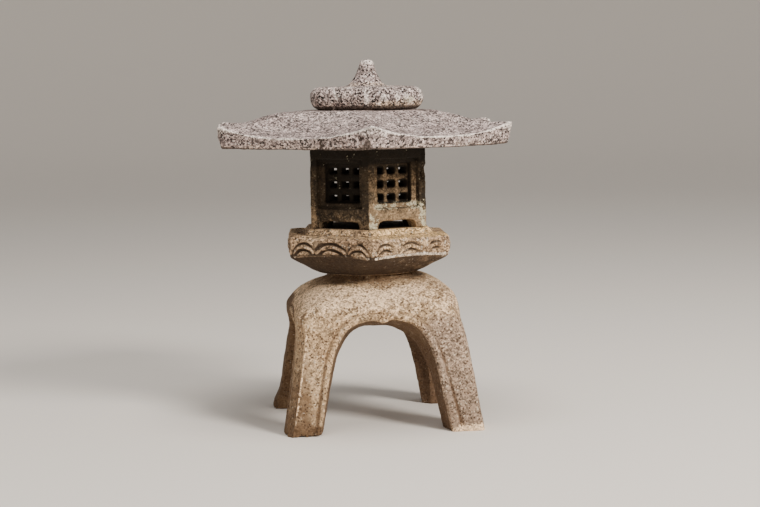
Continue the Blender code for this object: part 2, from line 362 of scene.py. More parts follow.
def chipped(points, chips, seed):
    """How far the chips (centre, radius, depth) take the surface in."""
    total = np.zeros(len(points))
    for index, (centre, radius, depth) in enumerate(chips):
        distance = np.linalg.norm(points - centre, axis=1) / radius
        distance += 0.28 * noise(points, radius * 0.55, seed + index)
        total += depth * smooth(1.0, 0.45, distance)
    return total


def resting(points, normals, heights, reach=0.003):
    """1 where the surface is free to be rough, 0 on the faces that rest on another stone."""
    free = np.ones(len(points))
    flat = smooth(0.6, 0.9, np.abs(normals[:, 2]))
    for height in heights:
        near = 1.0 - smooth(0.0005, reach, np.abs(points[:, 2] - height))
        free *= 1.0 - near * flat
    return free


def finish_stone(name, mesh, look, wear_and_light, stain_and_shade, tone_and_light, lichen=None):
    """Put a finished mesh in place of its CAD node."""
    if lichen is None:
        lichen = np.zeros(len(mesh.vertices))
    weathering = {"wear_and_light": wear_and_light, "stain_and_shade": stain_and_shade, "tone_and_light": tone_and_light, "lichen": lichen}
    for key, values in weathering.items():
        set_attribute(mesh, key, values)
    mesh.shade_smooth()
    mesh.materials.clear()
    mesh.materials.append(stone_finish(name + "_stone_finish", look))
    stone = new_object(name + "_weathered", mesh)
    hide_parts(name)
    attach(stone, name)


# ---- material

class Finish:
    """A stone's material, built from small steps that all read object coordinates."""

    def __init__(self, name):
        self.material = bpy.data.materials.new(name)
        self.material.use_nodes = True
        self.tree = self.material.node_tree
        self.plain = self.node("ShaderNodeTexCoord").outputs["Object"]
        wobble = self.node("ShaderNodeTexNoise", {"Vector": self.plain, "Scale": 330.0, "Detail": 1.0})
        centred = self.vector("SUBTRACT", {0: wobble.outputs["Color"], 1: (0.5, 0.5, 0.5)})
        scaled = self.vector("SCALE", {0: centred, "Scale": 0.0008})
        self.coords = self.vector("ADD", {0: self.plain, 1: scaled})

    def node(self, kind, inputs=None, **settings):
        node = self.tree.nodes.new(kind)
        for key, value in settings.items():
            setattr(node, key, value)
        self.feed(node, inputs or {})
        return node

    def feed(self, node, inputs):
        """Link or set a node's inputs, given by name or number."""
        for key, value in inputs.items():
            socket = node.inputs[key]
            if isinstance(value, bpy.types.NodeSocket):
                self.tree.links.new(value, socket)
            elif socket.type == "RGBA":
                socket.default_value = (*value, 1.0)
            else:
                socket.default_value = value

    def vector(self, operation, inputs):
        return self.node("ShaderNodeVectorMath", inputs, operation=operation).outputs[0]

    def math(self, operation, a, b):
        return self.node("ShaderNodeMath", {0: a, 1: b}, operation=operation).outputs[0]

    def times(self, a, b):
        return self.math("MULTIPLY", a, b)

    def plus(self, a, b):
        return self.math("ADD", a, b)

    def noise(self, size, seed, detail=3.0, roughness=0.55):
        """Soft noise, for which the seed is a fourth coordinate."""
        inputs = {"Vector": self.plain, "W": float(seed), "Scale": 1.0 / size,
                  "Detail": detail, "Roughness": roughness}
        return self.node("ShaderNodeTexNoise", inputs, noise_dimensions="4D").outputs[0]

    def cells(self, size, seed):
        """Distance from each cell's point, and two random numbers for the cell."""
        shifted = self.vector("ADD", {0: self.coords, 1: (0.37 * seed, 0.61 * seed, 0.23 * seed)})
        node = self.node("ShaderNodeTexVoronoi", {"Vector": shifted, "Scale": 1.0 / size})
        parts = self.node("ShaderNodeSeparateColor", {0: node.outputs["Color"]})
        return node.outputs["Distance"], parts.outputs[0], parts.outputs[1]

    def between(self, value, low, high, start=0.0, end=1.0):
        """From start at low to end at high, eased."""
        inputs = dict(enumerate((value, low, high, start, end)))
        node = self.node("ShaderNodeMapRange", inputs, interpolation_type="SMOOTHSTEP")
        return node.outputs[0]

    def spots(self, size, radius, share, seed):
        """1 inside scattered spots: a share of the cells has one."""
        distance, chosen, width = self.cells(size, seed)
        distance = self.math("DIVIDE", distance, self.between(width, 0.0, 1.0, 0.55, 1.0))
        inside = self.between(distance, radius / size, 0.62 * radius / size)
        return self.times(inside, self.math("LESS_THAN", chosen, share))

    def mix(self, factor, a, b, blend="MIX"):
        inputs = {0: factor, 6: a, 7: b}  # the colour sockets
        return self.node("ShaderNodeMix", inputs, data_type="RGBA", blend_type=blend).outputs[2]

    def tint(self, colour, by):
        return self.mix(1.0, colour, by, "MULTIPLY")

    def mask(self, name, noise_value, low, high, rough):
        """A vertex attribute broken up by noise."""
        attribute = self.node("ShaderNodeAttribute", attribute_name=name).outputs["Fac"]
        shifted = self.times(self.math("SUBTRACT", noise_value, 0.5), rough * 2.0)
        return self.between(self.plus(attribute, shifted), low, high)

    def grey(self, value, low, high):
        """A grey level that runs from low to high with a value."""
        level = self.between(value, 0.0, 1.0, low, high)
        return self.node("ShaderNodeCombineColor", {0: level, 1: level, 2: level}).outputs[0]

    def output(self, colour, height, depth, roughness):
        bump = self.node("ShaderNodeBump", {"Height": height, "Distance": depth, "Strength": 1.0})
        self.feed(self.tree.nodes["Principled BSDF"], {
            "Normal": bump.outputs[0], "Base Color": colour, "Roughness": roughness,
            "Specular IOR Level": 0.25,
        })
        return self.material


GRAIN_SIZE = 0.0024


def stone_finish(name, look):
    """One recipe for all the stones: tones, painted light, grain, stain, painted shade, lichen, worn
    edges, then pits.
    """
    f = Finish(name)
    broad = f.between(f.noise(0.045, 1, 4.0), 0.32, 0.68)
    patches = f.between(f.noise(0.012, 2, 4.0, 0.6), 0.30, 0.70)
    fine = f.noise(0.0030, 3, 3.0, 0.65)
    _, grain, _ = f.cells(GRAIN_SIZE, 1)
    _, small_grain, _ = f.cells(0.6 * GRAIN_SIZE, 2)
    crumbs = f.plus(f.times(grain, 0.6), f.times(small_grain, 0.4))
    broken = f.plus(f.times(patches, 0.5), f.times(crumbs, 0.5))

    base = f.mix(broad, look["tone_a"], look["tone_b"])
    # Real tone and painted light are both mixed in here
    base = f.mix(f.mask("tone_and_light", broken, 0.20, 0.80, 0.22), base, look["tone_and_light_colour"])
    base = f.tint(base, f.grey(patches, 1.0 - look["patchy"], 1.0 + look["patchy"]))
    low, high = look["grain_levels"]
    base = f.tint(base, f.grey(grain, low, high))
    base = f.tint(base, f.grey(small_grain, (1.0 + low) / 2, (1.0 + high) / 2))
    size, share, strength = look["pale"]
    pale = f.spots(size, 0.5 * size, share, 3)
    base = f.mix(f.times(pale, strength), base, look["pale_colour"])

    # Real stains and painted shade both darken the colour here
    stain_and_shade = f.mask("stain_and_shade", broken, 0.25, 0.75, 0.35)
    base = f.mix(f.times(stain_and_shade, look["stain_and_shade_strength"]), base, look["stain_and_shade_colour"])
    lichen = f.mask("lichen", broken, 0.40, 0.62, 0.60)
    lichen_tone = f.mix(small_grain, look["lichen_shade"], look["lichen_colour"])
    base = f.mix(f.times(lichen, 0.9), base, lichen_tone)
    # Worn edges and some painted light both pale the colour here
    wear_and_light = f.mask("wear_and_light", broken, 0.30, 0.80, 0.40)
    worn_and_lit_tone = f.tint(look["wear_and_light_colour"], f.grey(crumbs, 0.48, 1.36))
    base = f.mix(f.times(wear_and_light, look["wear_and_light_strength"]), base, worn_and_lit_tone)
    size, radius, share, strength, relief = look["pit"]
    dark = f.spots(size, radius, share, 4)
    covered = f.math("MAXIMUM", f.times(wear_and_light, 0.45), f.times(lichen, 0.6))
    pits = f.times(dark, f.math("SUBTRACT", strength, covered))
    base = f.mix(pits, base, look["pit_colour"])

    height = f.plus(f.times(crumbs, look["grain_relief"]), f.times(fine, 0.8))
    height = f.plus(height, f.times(lichen, 0.3))
    height = f.math("SUBTRACT", height, f.times(dark, relief))
    roughness = f.between(patches, 0.0, 1.0, look["roughness"] - 0.06, look["roughness"] + 0.05)
    return f.output(base, height, look["relief"], roughness)


# In a look, pale is the size, share and strength of the pale grains, and pit is the size, radius,
# share, strength and relief of the pits
ROOF_LOOK = {
    "tone_a": (0.250, 0.194, 0.180), "tone_b": (0.375, 0.300, 0.276), "tone_and_light_colour": (0.42, 0.315, 0.235),
    "patchy": 0.26, "grain_levels": (0.10, 2.0),
    "pale": (0.0040, 0.32, 0.75), "pale_colour": (0.78, 0.700, 0.655),
    "pit": (0.0042, 0.0019, 0.40, 0.80, 0.9), "pit_colour": (0.055, 0.038, 0.032),
    "stain_and_shade_colour": (0.075, 0.054, 0.042), "stain_and_shade_strength": 0.85,
    "lichen_colour": (0.70, 0.62, 0.47), "lichen_shade": (0.48, 0.40, 0.29),
    "wear_and_light_colour": (0.92, 0.815, 0.735), "wear_and_light_strength": 0.90,
    "grain_relief": 0.8, "relief": 0.0010, "roughness": 0.92,
}
FINIAL_LOOK = dict(
    ROOF_LOOK, tone_a=(0.25, 0.198, 0.184), tone_b=(0.37, 0.296, 0.268), grain_levels=(0.02, 2.15),
    pale=(0.0040, 0.45, 0.75), pit=(0.0042, 0.0022, 0.55, 0.80, 0.9), relief=0.0013,
    lichen_colour=(0.80, 0.73, 0.60), lichen_shade=(0.56, 0.46, 0.34),
)
PLATFORM_LOOK = {
    "tone_a": (0.30, 0.195, 0.118), "tone_b": (0.44, 0.308, 0.190), "tone_and_light_colour": (0.62, 0.415, 0.205),
    "patchy": 0.22, "grain_levels": (0.35, 1.70),
    "pale": (0.0046, 0.30, 0.6), "pale_colour": (0.72, 0.62, 0.50),
    "pit": (0.0050, 0.0019, 0.28, 0.75, 1.0), "pit_colour": (0.070, 0.042, 0.026),
    "stain_and_shade_colour": (0.038, 0.023, 0.014), "stain_and_shade_strength": 0.95,
    "lichen_colour": (0.62, 0.56, 0.44), "lichen_shade": (0.40, 0.34, 0.25),
    "wear_and_light_colour": (0.86, 0.735, 0.60), "wear_and_light_strength": 0.9,
    "grain_relief": 0.7, "relief": 0.0009, "roughness": 0.90,
}
LEGS_LOOK = {
    "tone_a": (0.42, 0.275, 0.155), "tone_b": (0.55, 0.385, 0.230), "tone_and_light_colour": (0.34, 0.242, 0.172),
    "patchy": 0.16, "grain_levels": (0.50, 1.50),
    "pale": (0.0042, 0.35, 0.50), "pale_colour": (0.88, 0.73, 0.54),
    "pit": (0.0044, 0.0018, 0.85, 0.85, 1.4), "pit_colour": (0.085, 0.045, 0.024),
    "stain_and_shade_colour": (0.105, 0.056, 0.027), "stain_and_shade_strength": 0.87,
    "lichen_colour": (0.66, 0.60, 0.50), "lichen_shade": (0.30, 0.26, 0.20),
    "wear_and_light_colour": (0.99, 0.715, 0.46), "wear_and_light_strength": 0.90,
    "grain_relief": 0.6, "relief": 0.0010, "roughness": 0.90,
}
CHAMBER_LOOK = {
    "tone_a": (0.034, 0.023, 0.013), "tone_b": (0.066, 0.046, 0.027), "tone_and_light_colour": (0.285, 0.195, 0.112),
    "patchy": 0.22, "grain_levels": (0.66, 1.36),
    "pale": (0.0042, 0.25, 0.45), "pale_colour": (0.20, 0.155, 0.11),
    "pit": (0.0048, 0.0021, 0.34, 0.55, 1.1), "pit_colour": (0.016, 0.010, 0.006),
    "stain_and_shade_colour": (0.011, 0.008, 0.005), "stain_and_shade_strength": 0.9,
    "lichen_colour": (0.74, 0.695, 0.50), "lichen_shade": (0.32, 0.275, 0.170),
    "wear_and_light_colour": (0.42, 0.32, 0.22), "wear_and_light_strength": 0.6,
    "grain_relief": 0.9, "relief": 0.0011, "roughness": 0.88,
}


# ---- legs

LEGS_PROFILE = [  # half width, corner radius, height
    (0.1515, 0.006, 0.0), (0.1425, 0.008, 0.054), (0.1335, 0.011, 0.110), (0.1262, 0.018, 0.158),
    (0.1250, 0.026, 0.175), (0.1190, 0.040, 0.1945), (0.1098, 0.046, 0.206),
    (0.0975, 0.048, 0.2145), (0.0850, 0.050, 0.2205), (0.0730, 0.060, 0.2248),
]
LEGS_HOLLOW = [
    (0.109, 0.030, -0.010), (0.096, 0.028, 0.085), (0.072, 0.024, 0.125), (0.040, 0.020, 0.141),
]
SEAT_RADIUS = 0.069  # the low round seat for the platform
SEAT_FOOT = 0.2262
LEGS_SOCKET = 0.038
LEGS_SOCKET_LOW = PLATFORM_LOW - SOCKET_SPARE
ARCH_TOP = 0.169
ARCH_CUSP = 0.0045
ARCH_RIGHT = [  # across, up
    (0.1015, -0.010), (0.0995, 0.0), (0.0826, 0.089), (0.0760, 0.118), (0.0652, 0.142),
    (0.0590, 0.151), (0.0510, 0.158), (0.0400, 0.1642), (0.0270, 0.1678), (0.0140, ARCH_TOP),
    (0.0060, ARCH_TOP),
]
LEGS_VOXEL = 0.00203
BEVEL_WIDTH = 0.0105  # of the worn corner of the front left leg
BEVEL_SLOPE = 0.60
LEGS_CHIPS = [  # centre, radius, depth
    ((-0.100, -0.148, 0.002), 0.013, 0.0035), ((-0.128, -0.149, 0.001), 0.010, 0.0030),
    ((-0.146, -0.130, 0.003), 0.012, 0.0028), ((0.098, 0.146, 0.050), 0.010, 0.0030),
    ((0.092, 0.142, 0.080), 0.008, 0.0026), ((0.101, 0.146, 0.025), 0.010, 0.0030),
    ((-0.150, 0.104, 0.008), 0.010, 0.0035), ((0.150, -0.118, 0.000), 0.008, 0.0022),
    ((-0.114, -0.150, 0.004), 0.008, 0.0034), ((-0.137, -0.150, 0.006), 0.007, 0.0030),
]


def legs_half_width(height):
    table = np.array(LEGS_PROFILE)
    return np.interp(height, table[:, 2], table[:, 0])


def arch_outline():
    """The arch on a face of the legs, from the right foot over the cusp to the left foot."""
    right = smooth_rows(ARCH_RIGHT, 0.004)
    left = right[::-1] * (-1.0, 1.0)
    return np.vstack([right, (0.0, ARCH_TOP), left])


def arch_cutter(name, turn):
    """The space of two opposite arches: narrow and low in the middle, widening to both faces."""
    sections = []
    for share in (-1.2, -1.0, -0.8, 0.0, 0.8, 1.0, 1.2):
        x, z = arch_outline().T
        narrowing = 0.72 - 0.15 * z / ARCH_TOP
        across = x * (narrowing + (1.0 - narrowing) * abs(share))
        up = z * (0.855 + 0.145 * abs(share))
        cusp = ARCH_CUSP * smooth(0.75, 1.0, np.array(abs(share)))
        up = up - cusp * bump_at(x, 0.0, 0.0085)
        sections.append(np.stack([across, -share * legs_half_width(z), up], axis=1))
    mesh = closed_mesh(name, np.array(sections))
    mesh.transform(Matrix.Rotation(turn, 4, "Z"))
    return mesh


def distance_to_line(points, line):
    """Distance of 2-D points from a line of points."""
    best = np.full(len(points), np.inf)
    for a, b in zip(line, line[1:]):
        along = b - a
        part = np.clip((points - a) @ along / (along @ along), 0.0, 1.0)
        best = np.minimum(best, np.linalg.norm(points - a - part[:, None] * along, axis=1))
    return best


def make_legs():
    table = [level_row(HUB, 0.001, 0.0)]
    table += [level_row(*row) for row in smooth_rows(LEGS_PROFILE, 0.004)]
    table += [round_row(r, z) for r, z in (
        (SEAT_RADIUS + 0.0015, SEAT_FOOT), (SEAT_RADIUS, SEAT_FOOT + 0.001),
        (SEAT_RADIUS, LEGS_TOP - 0.001), (SEAT_RADIUS - 0.001, LEGS_TOP),
        (LEGS_SOCKET + 0.002, LEGS_TOP), (LEGS_SOCKET, LEGS_TOP - 0.0015),
        (LEGS_SOCKET, LEGS_SOCKET_LOW), (HUB, LEGS_SOCKET_LOW),
    )]
    outside = closed_mesh("legs_block", ring_grid(4, np.array(table), 160, 0.0, 0.0))
    hollow_rows = np.array([level_row(*row) for row in LEGS_HOLLOW])
    hollow = closed_mesh("hollow", ring_grid(4, hollow_rows, 80, 0.0, 0.0))
    arches = [arch_cutter("arches_a", 0.0), arch_cutter("arches_b", math.pi / 2)]
    mesh = remeshed(subtracted(outside, [hollow, *arches]), LEGS_VOXEL)
    points, edges = mesh_points(mesh), mesh_edges(mesh)
    for _ in range(3):
        points = 0.5 * points + 0.5 * neighbour_mean(points, edges)
    points[:, 2] = np.where(points[:, 2] < 0.0008, 0.0, points[:, 2])
    set_points(mesh, points)
    normals = mesh_normals(mesh)

    # Where each point lies on its face of the block
    x, y, z = points.T
    front = np.abs(y) > np.abs(x)
    along = np.where(front, x, y)
    out = np.where(front, np.abs(y), np.abs(x))
    face = smooth(0.0065, 0.002, legs_half_width(z) - out)
    from_arch = distance_to_line(np.stack([along, z], axis=1), arch_outline())
    to_corner = legs_half_width(z) - np.abs(along)
    below_dome = smooth(0.205, 0.185, z)
    rightward = along * np.where(front, -np.sign(y), np.sign(x))
    roll = 0.0105 + np.where(rightward > 0.0, 0.0060, -0.0022) * smooth(0.145, 0.0, z)
    groove = bump_at(from_arch, roll, 0.0024) * smooth(0.003, 0.008, to_corner)
    bead = smooth(0.0, 0.0035, from_arch) * smooth(roll, roll - 0.0045, from_arch)
    shift = face * below_dome * (0.0012 * bead - 0.0024 * groove)

    # Uneven casting, worn edges and chips
    shift += casting(points, 11, (0.0009, 0.050), (0.0005, 0.016), (0.0003, 0.006))
    bend = convexity(points, normals, edges, 3)
    edge = smooth(60.0, 180.0, bend)
    shift -= 0.0012 * edge * smooth(0.05, 0.7, noise(points, 0.011, 14))
    free = resting(points, normals, (0.0, LEGS_TOP))
    broken = chipped(points, LEGS_CHIPS, 30)
    points = points + normals * (shift * free - broken)[:, None]

    # A broad bevel down the front left leg's outer corner
    half = legs_half_width(z)
    bevel = smooth(0.205, 0.145, z) * (x < -0.05) * (y < -0.05)
    width = np.clip(BEVEL_WIDTH - BEVEL_SLOPE * (points[:, 1] + half), 0.0, BEVEL_WIDTH)
    over = bevel * width - half - points[:, 0]
    points[:, 0] += 0.5 * (over + np.sqrt(over ** 2 + 0.0012 ** 2)) * bevel

    # The casting is not quite true: its dome leans, and the back left leg is worn hollow
    radius = np.hypot(x, y)
    dome = smooth(0.178, 0.205, z) * smooth(SEAT_RADIUS + 0.002, SEAT_RADIUS + 0.016, radius)
    points[:, 2] += 0.0034 * dome * np.clip(x / 0.09, -1.2, 1.2)
    points[:, 0] -= 0.0036 * bump_at(z, 0.171, 0.016) * smooth(0.085, 0.115, np.abs(x))
    hollow_leg = smooth(-0.095, -0.125, x) * smooth(0.02, 0.08, y) * smooth(0.003, 0.035, z)
    points[:, 0] += 0.0062 * hollow_leg * smooth(0.165, 0.130, z)
    points[:, 2] = np.clip(points[:, 2], 0.0, LEGS_TOP)
    set_points(mesh, placed(points, LEGS_TURN, LEGS_X))

    # Painted shade in the groove, inside, in hollows and behind; dark at one foot; pale on worn edges
    grooved = face * below_dome * groove
    inside = 1.0 - smooth(0.010, 0.002, legs_half_width(z) - out)
    inside *= smooth(LEGS_TOP - 0.002, LEGS_TOP - 0.02, z)
    front_left_foot = smooth(-0.05, -0.11, x) * smooth(-0.05, -0.11, y) * smooth(0.020, 0.002, z)
    stain_and_shade = 0.50 * grooved + 0.70 * inside + 1.3 * front_left_foot + 0.4 * smooth(-20, -90, bend)
    # Painted shade: darker to the bottom (damp too), on the left faces and on the dome under the
    # platform
    stain_and_shade += 0.36 * smooth(0.165, 0.02, z) + 0.30 * smooth(-0.105, -0.122, x) * below_dome
    stain_and_shade += 0.60 * smooth(0.110, 0.070, radius) * smooth(0.195, 0.215, z)
    # Painted shade on the back legs
    stain_and_shade += 0.85 * smooth(0.0, 0.05, y) * below_dome * smooth(0.6, 0.2, normals[:, 1])
    right_leg = smooth(0.01, 0.09, x) * smooth(0.205, 0.15, z)
    tone_and_light = 0.72 * right_leg + 0.25 * smooth(0.0, 0.6, noise(points, 0.05, 15))
    right_foot = smooth(0.09, 0.12, x) * smooth(-0.08, -0.12, y) * smooth(0.016, 0.004, z)
    wear_and_light = 0.75 * smooth(35.0, 110.0, bend) * (1.0 - inside) + 1.0 * right_foot
    wear_and_light += 0.35 * smooth(0.0005, 0.0025, broken)
    # Painted light from above pales the dome, on pale worn stone
    wear_and_light += (0.68 * smooth(0.150, 0.200, z) * smooth(0.088, 0.105, radius)
             * (1.0 - 0.25 * smooth(0.0, 0.08, x)))
    wear_and_light += 0.60 * bevel * (y < -half + 0.006) * bump_at(x + half, BEVEL_WIDTH + 0.001, 0.0020)
    # The back legs look less worn, as painted shade
    wear_and_light *= 1.0 - 0.7 * smooth(0.0, 0.05, y) * below_dome
    wear_and_light -= 0.8 * front_left_foot
    lichen = 0.25 * smooth(0.012, 0.001, z) * right_foot
    finish_stone("legs", mesh, LEGS_LOOK, wear_and_light, stain_and_shade, tone_and_light, lichen)


# ---- platform

PLATFORM_COLUMNS = 720
PLATFORM_REST = LEGS_TOP + GAP
TENON_RADIUS = 0.030
BAND_LOW = 0.2626
BAND_LOW_CORNER = 0.2585
BAND_HALF_SIDE = 0.071
BAND_RADIUS = 0.142
PLATFORM_HEXAGONS = [  # radius, roundness, height, corner height
    (0.0745, 1.0, PLATFORM_REST, PLATFORM_REST), (0.0802, 0.85, 0.2330, 0.2330),
    (0.0932, 0.70, 0.2384, 0.2384), (0.1080, 0.50, 0.2466, 0.2456),
    (0.1240, 0.30, 0.2550, 0.2525), (0.1360, 0.10, BAND_LOW, BAND_LOW_CORNER),
    (0.1400, 0.06, 0.2684, 0.2655), (BAND_RADIUS, 0.05, 0.2770, 0.2770), (0.1408, 0.05, 0.2876, 0.2876),
    (0.1372, 0.05, 0.2914, 0.2914), (0.1125, 0.05, 0.2930, 0.2930),
    (0.1050, 0.05, PLATFORM_TOP, PLATFORM_TOP),
]
WAVE_SPACING = 0.0470
WAVE_STEP = 0.0098  # each arc of a wave lies this far below the one outside it
WAVE_TOP = 0.0222  # above the band's lower edge
WAVE_BASE = 0.0048
OUTER_WAVE = 0.0195  # radius of the waves next to the corners


def wave_relief(along, above, radii):
    """Height, and painted shade with stain, of the carved waves: arcs stepped down inside each other.
    """
    relief = np.zeros(len(along))
    dark = np.zeros(len(along))
    for index, radius in enumerate(radii):
        middle_x = (index - 1) * WAVE_SPACING
        for step in range(2):
            top = WAVE_TOP - step * WAVE_STEP - (0.0010 if index == 1 else 0.0)
            distance = np.hypot(along - middle_x, above - (top - radius))
            inside = radius - distance
            mine = smooth(0.0295, 0.0255, np.abs(along - middle_x))
            if step == 0:
                kept = 1.0 - mine + mine * smooth(0.001, -0.001, inside)
                relief = relief * kept
                dark = dark * kept
            crest = 0.55 + 0.45 * smooth(0.9 * radius, 0.3 * radius, np.abs(along - middle_x))
            relief += mine * (0.0016 * bump_at(inside, 0.0048, 0.0028)
                              - 0.0034 * crest * bump_at(inside, 0.0, 0.0019))
            dark = np.maximum(dark, mine * crest * bump_at(inside, 0.0, 0.0024))
    span = smooth(WAVE_BASE - 0.0012, WAVE_BASE + 0.0010, above)
    return relief * span, dark * span


def make_platform():
    rows = [round_row(HUB, PLATFORM_LOW), round_row(TENON_RADIUS, PLATFORM_LOW),
            round_row(TENON_RADIUS, PLATFORM_REST)]
    for radius, roundness, z, corner_z in PLATFORM_HEXAGONS:
        apothem = radius / ((1.0 - roundness) / COS30 + roundness)
        rows.append((apothem, roundness * apothem, z, corner_z))
    rows.append(round_row(HUB, PLATFORM_TOP))
    side_start, side_end = 8, 12  # the rows of the carved band
    table = np.vstack([
        straight_rows(rows[:side_start + 1], 0.0026)[:-1],
        straight_rows(rows[side_start:side_end + 1], 0.0010)[:-1],
        straight_rows(rows[side_end:], 0.0030),
    ])
    table = soften(table, 1)
    grid = ring_grid(SIDES, table, PLATFORM_COLUMNS, PLATFORM_TURN, PLATFORM_X)
    mesh = closed_mesh("platform", grid)
    points, normals, edges = mesh_points(mesh), mesh_normals(mesh), mesh_edges(mesh)
    own = local(points, PLATFORM_TURN, PLATFORM_X)
    x, y, z = points.T
    side, _, along, out = in_side(own)
    share = np.clip(1.0 - np.abs(along) / BAND_HALF_SIDE, 0.0, 1.0)
    low_edge = BAND_LOW + (BAND_LOW_CORNER - BAND_LOW) * (1.0 - share) ** CORNER_RISE
    above = z - low_edge
    outward = np.hypot(normals[:, 0], normals[:, 1])
    band = smooth(0.6, 0.9, outward) * smooth(0.113, 0.117, out)
    band *= smooth(-0.001, 0.001, above) * smooth(0.0275, 0.0250, above)

    # Carved waves, more worn on some sides
    middle_waves = (0.027, 0.030, 0.034, 0.028, 0.031, 0.037)
    strengths = (0.92, 0.8, 0.9, 0.75, 0.85, 1.0)
    relief = np.zeros(len(points))
    dark = np.zeros(len(points))
    for index in range(SIDES):
        here = side == index
        radii = (OUTER_WAVE, middle_waves[index], OUTER_WAVE)
        uneven = 0.0009 * noise(points[here], 0.012, 20 + index)
        r, d = wave_relief(along[here], above[here] + uneven, radii)
        relief[here] = r * strengths[index]
        dark[here] = d * strengths[index]
    worn = 1.0 - 0.60 * smooth(0.15, 0.75, noise(points, 0.018, 27))
    near_corner = smooth(0.0700, 0.0640, np.abs(along))
    shift = band * relief * worn * near_corner
    shift += 0.0008 * band * smooth(WAVE_BASE + 0.0006, WAVE_BASE - 0.0010, above)

    # Uneven casting, worn edges and chips
    free = resting(points, normals, (PLATFORM_REST, PLATFORM_TOP))
    under = smooth(-0.25, -0.55, normals[:, 2]) * smooth(PLATFORM_REST, PLATFORM_REST + 0.003, z)
    rough = free * (1.0 - 0.6 * under)
    shift += rough * casting(points, 21, (0.0007, 0.045), (0.00035, 0.014), (0.0003, 0.0045))
    bend = convexity(points, normals, edges, 4)
    outer = smooth(0.100, 0.110, out)
    edge = outer * smooth(40.0, 140.0, bend)
    shift -= 0.0013 * edge * smooth(0.0, 0.7, noise(points, 0.012, 24))
    side_corner = (PLATFORM_X + BAND_RADIUS * math.cos(PLATFORM_TURN - HALF_SIDE),
                   BAND_RADIUS * math.sin(PLATFORM_TURN - HALF_SIDE))
    chips = [
        ((*side_corner, 0.288), 0.010, 0.0028), ((*side_corner, 0.262), 0.008, 0.0022),
        ((-0.110, -0.068, 0.289), 0.009, 0.0024), ((0.020, -0.142, 0.289), 0.009, 0.0018),
        ((0.075, 0.105, 0.288), 0.012, 0.0030), ((-0.060, 0.115, 0.262), 0.011, 0.0028),
        ((-0.085, 0.049, 0.303), 0.007, 0.0026),
    ]
    shift -= chipped(points, chips, 60)
    moved = points + normals * shift[:, None]
    # The left of the top slopes up less sharply to the chamber's seat
    ramp = smooth(0.1060, 0.1130, out) * smooth(0.138, 0.120, out) * smooth(0.288, 0.291, z)
    moved[:, 2] += 0.0035 * ramp * smooth(-0.080, -0.105, own[:, 0])
    moved[:, 2] = np.clip(moved[:, 2], PLATFORM_LOW, PLATFORM_TOP)
    set_points(mesh, moved)

    # Painted shade in the carving, below and inside; warm on top; pale on the border and worn edges
    hollow = smooth(-15.0, -70.0, bend)
    left_side = smooth(0.02, -0.03, x) * smooth(0.0, -0.04, y)
    # The carving's valleys: painted shade, with real staining, more on the left
    stain_and_shade = band * dark * worn * (0.80 + 0.30 * left_side)
    # Painted shade under the bowl, less on the right; at the chamber's foot, inside it and in hollows
    stain_and_shade += under * (1.0 - 0.42 * smooth(-0.03, 0.11, x))
    stain_and_shade += 0.50 * bump_at(out, 0.0985, 0.0018) * smooth(0.291, 0.292, z)
    stain_and_shade += 1.1 * smooth(0.086, 0.076, out) * smooth(0.8, 0.95, normals[:, 2])
    stain_and_shade += 0.35 * hollow * outer
    blotches = smooth(0.0, 0.7, noise(points, 0.011, 28)) * left_side
    stain_and_shade += 0.45 * band * blotches * smooth(0.008, 0.016, above)
    top_band = smooth(0.289, 0.292, z)
    right_side = smooth(0.0, 0.05, x) * smooth(0.0, -0.03, y)
    tone_and_light = top_band * (0.35 + 0.6 * right_side) * (1.0 - under) + 0.25 * band * right_side
    border = band * smooth(WAVE_BASE + 0.0018, WAVE_BASE - 0.0006, above)
    wear_and_light = outer * (0.60 * smooth(40.0, 130.0, bend) + (0.62 + 0.45 * right_side) * border)
    wear_and_light += 0.22 * band * right_side * smooth(0.0, 0.5, noise(points, 0.013, 29)) + 0.05 * band
    # Painted shade: the underside is not worn pale
    wear_and_light -= 0.8 * under
    finish_stone("platform", mesh, PLATFORM_LOOK, wear_and_light, stain_and_shade, tone_and_light)


# ---- light chamber

CHAMBER_VOXEL = 0.00158
CHAMBER_RADIUS = 0.1018
CHAMBER_BORE = 0.0564  # from the middle to the inner wall
LATTICE_FACE = 0.0706
FOOT_ARCH_HEIGHT = 0.013


